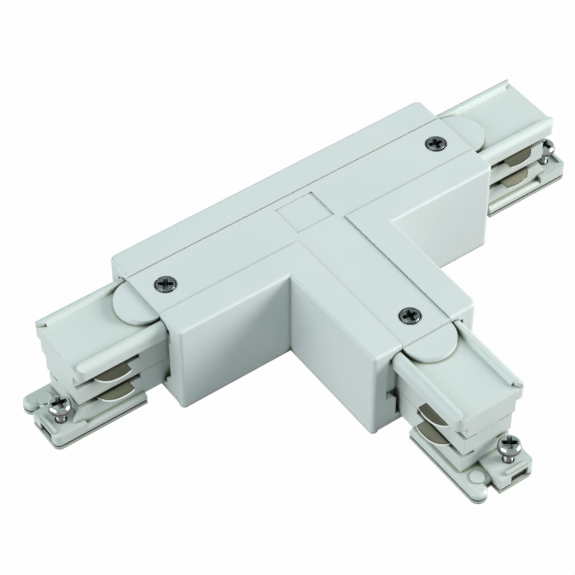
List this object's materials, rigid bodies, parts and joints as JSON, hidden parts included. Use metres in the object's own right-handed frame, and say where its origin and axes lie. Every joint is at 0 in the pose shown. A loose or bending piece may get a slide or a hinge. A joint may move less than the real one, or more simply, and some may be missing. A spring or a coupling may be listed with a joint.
{
  "type": "lighting track connector",
  "caption": "T-shaped connector that joins the ends of lighting track, with plug heads, sprung contact blades and a screw clamp in each head.",
  "frame": {"origin": "middle of the back face, where the centre lines of the through bar and of the branch cross", "axes": "+X along the through bar to the right arm, -Y along the branch, +Z out of the back face to the cover strip"},
  "size_m": [0.1854, 0.1122, 0.032],
  "materials": {
    "white_plastic": "cool white moulded plastic with a fine satin grain",
    "head_plastic": "warmer white moulded plastic, satin",
    "inner_plastic": "pale grey insulating plastic, hidden inside",
    "contact_bronze": "nickel plated bronze sheet with bright punched edges",
    "conductor_copper": "bare copper strip, hidden inside",
    "spring_steel": "blued spring steel strip",
    "dark_steel": "dark plated steel screw",
    "zinc_steel": "bright zinc plated steel"
  },
  "bodies": {
    "connector": {"back_plate": "white_plastic", "branch_cover_screw": "dark_steel", "branch_head_lower": "head_plastic", "branch_head_upper": "head_plastic", "branch_spring_lower_clamp_side": "spring_steel", "branch_spring_lower_plain_side": "spring_steel", "branch_spring_upper_clamp_side": "spring_steel", "branch_spring_upper_plain_side": "spring_steel", "cover_strip": "white_plastic", "earth_link": "conductor_copper", "housing_shell": "white_plastic", "insulator_lower": "inner_plastic", "insulator_upper": "inner_plastic", "left_cover_screw": "dark_steel", "left_head_lower": "head_plastic", "left_head_upper": "head_plastic", "left_spring_lower_clamp_side": "spring_steel", "left_spring_lower_plain_side": "spring_steel", "left_spring_upper_clamp_side": "spring_steel", "left_spring_upper_plain_side": "spring_steel", "link_lower_front": "conductor_copper", "link_lower_rear": "conductor_copper", "link_upper_front": "conductor_copper", "link_upper_rear": "conductor_copper", "right_cover_screw": "dark_steel", "right_head_lower": "head_plastic", "right_head_upper": "head_plastic", "right_spring_lower_clamp_side": "spring_steel", "right_spring_lower_plain_side": "spring_steel", "right_spring_upper_clamp_side": "spring_steel", "right_spring_upper_plain_side": "spring_steel"},
    "left_clamp_screw": {"left_clamp_screw": "zinc_steel"},
    "left_clamp_nut": {"left_clamp_nut": "zinc_steel"},
    "left_blade_upper_clamp_side": {"left_blade_upper_clamp_side": "contact_bronze"},
    "left_blade_upper_plain_side": {"left_blade_upper_plain_side": "contact_bronze"},
    "left_blade_lower_clamp_side": {"left_blade_lower_clamp_side": "contact_bronze"},
    "left_blade_lower_plain_side": {"left_blade_lower_plain_side": "contact_bronze"},
    "branch_clamp_screw": {"branch_clamp_screw": "zinc_steel"},
    "branch_clamp_nut": {"branch_clamp_nut": "zinc_steel"},
    "branch_blade_upper_clamp_side": {"branch_blade_upper_clamp_side": "contact_bronze"},
    "branch_blade_upper_plain_side": {"branch_blade_upper_plain_side": "contact_bronze"},
    "branch_blade_lower_clamp_side": {"branch_blade_lower_clamp_side": "contact_bronze"},
    "branch_blade_lower_plain_side": {"branch_blade_lower_plain_side": "contact_bronze"},
    "right_clamp_screw": {"right_clamp_screw": "zinc_steel"},
    "right_clamp_nut": {"right_clamp_nut": "zinc_steel"},
    "right_blade_upper_clamp_side": {"right_blade_upper_clamp_side": "contact_bronze"},
    "right_blade_upper_plain_side": {"right_blade_upper_plain_side": "contact_bronze"},
    "right_blade_lower_clamp_side": {"right_blade_lower_clamp_side": "contact_bronze"},
    "right_blade_lower_plain_side": {"right_blade_lower_plain_side": "contact_bronze"}
  },
  "joints": [
    {"name": "left_clamp_screw_turn", "type": "hinge", "parent": "connector", "child": "left_clamp_screw", "pos_m": [-0.0876, -0.0046, 0.0102], "axis": [0, 0, -1], "range_deg": [0, 540]},
    {"name": "left_clamp_nut_rise", "type": "slide", "parent": "connector", "child": "left_clamp_nut", "axis": [0, 0, 1], "range_m": [0, 0.00075]},
    {"name": "left_blade_upper_clamp_side_push", "type": "slide", "parent": "connector", "child": "left_blade_upper_clamp_side", "axis": [0, 1, 0], "range_m": [0, 0.0012], "stiffness_N_per_m": 1500, "springref_m": -0.0008, "deforming": ["left_spring_upper_clamp_side"]},
    {"name": "left_blade_upper_plain_side_push", "type": "slide", "parent": "connector", "child": "left_blade_upper_plain_side", "axis": [0, -1, 0], "range_m": [0, 0.0012], "stiffness_N_per_m": 1500, "springref_m": -0.0008, "deforming": ["left_spring_upper_plain_side"]},
    {"name": "left_blade_lower_clamp_side_push", "type": "slide", "parent": "connector", "child": "left_blade_lower_clamp_side", "axis": [0, 1, 0], "range_m": [0, 0.0012], "stiffness_N_per_m": 1500, "springref_m": -0.0008, "deforming": ["left_spring_lower_clamp_side"]},
    {"name": "left_blade_lower_plain_side_push", "type": "slide", "parent": "connector", "child": "left_blade_lower_plain_side", "axis": [0, -1, 0], "range_m": [0, 0.0012], "stiffness_N_per_m": 1500, "springref_m": -0.0008, "deforming": ["left_spring_lower_plain_side"]},
    {"name": "branch_clamp_screw_turn", "type": "hinge", "parent": "connector", "child": "branch_clamp_screw", "pos_m": [0.0046, -0.0891, 0.0102], "axis": [0, 0, -1], "range_deg": [0, 540]},
    {"name": "branch_clamp_nut_rise", "type": "slide", "parent": "connector", "child": "branch_clamp_nut", "axis": [0, 0, 1], "range_m": [0, 0.00075]},
    {"name": "branch_blade_upper_clamp_side_push", "type": "slide", "parent": "connector", "child": "branch_blade_upper_clamp_side", "axis": [-1, 0, 0], "range_m": [0, 0.0012], "stiffness_N_per_m": 1500, "springref_m": -0.0008, "deforming": ["branch_spring_upper_clamp_side"]},
    {"name": "branch_blade_upper_plain_side_push", "type": "slide", "parent": "connector", "child": "branch_blade_upper_plain_side", "axis": [1, 0, 0], "range_m": [0, 0.0012], "stiffness_N_per_m": 1500, "springref_m": -0.0008, "deforming": ["branch_spring_upper_plain_side"]},
    {"name": "branch_blade_lower_clamp_side_push", "type": "slide", "parent": "connector", "child": "branch_blade_lower_clamp_side", "axis": [-1, 0, 0], "range_m": [0, 0.0012], "stiffness_N_per_m": 1500, "springref_m": -0.0008, "deforming": ["branch_spring_lower_clamp_side"]},
    {"name": "branch_blade_lower_plain_side_push", "type": "slide", "parent": "connector", "child": "branch_blade_lower_plain_side", "axis": [1, 0, 0], "range_m": [0, 0.0012], "stiffness_N_per_m": 1500, "springref_m": -0.0008, "deforming": ["branch_spring_lower_plain_side"]},
    {"name": "right_clamp_screw_turn", "type": "hinge", "parent": "connector", "child": "right_clamp_screw", "pos_m": [0.0876, -0.0046, 0.0102], "axis": [0, 0, -1], "range_deg": [0, 540]},
    {"name": "right_clamp_nut_rise", "type": "slide", "parent": "connector", "child": "right_clamp_nut", "axis": [0, 0, 1], "range_m": [0, 0.00075]},
    {"name": "right_blade_upper_clamp_side_push", "type": "slide", "parent": "connector", "child": "right_blade_upper_clamp_side", "axis": [0, 1, 0], "range_m": [0, 0.0012], "stiffness_N_per_m": 1500, "springref_m": -0.0008, "deforming": ["right_spring_upper_clamp_side"]},
    {"name": "right_blade_upper_plain_side_push", "type": "slide", "parent": "connector", "child": "right_blade_upper_plain_side", "axis": [0, -1, 0], "range_m": [0, 0.0012], "stiffness_N_per_m": 1500, "springref_m": -0.0008, "deforming": ["right_spring_upper_plain_side"]},
    {"name": "right_blade_lower_clamp_side_push", "type": "slide", "parent": "connector", "child": "right_blade_lower_clamp_side", "axis": [0, 1, 0], "range_m": [0, 0.0012], "stiffness_N_per_m": 1500, "springref_m": -0.0008, "deforming": ["right_spring_lower_clamp_side"]},
    {"name": "right_blade_lower_plain_side_push", "type": "slide", "parent": "connector", "child": "right_blade_lower_plain_side", "axis": [0, -1, 0], "range_m": [0, 0.0012], "stiffness_N_per_m": 1500, "springref_m": -0.0008, "deforming": ["right_spring_lower_plain_side"]}
  ],
  "couplings": [
    {"joint": "left_clamp_screw_turn", "follows": "left_clamp_nut_rise", "rad_per_m": 12566},
    {"joint": "branch_clamp_screw_turn", "follows": "branch_clamp_nut_rise", "rad_per_m": 12566},
    {"joint": "right_clamp_screw_turn", "follows": "right_clamp_nut_rise", "rad_per_m": 12566}
  ]
}
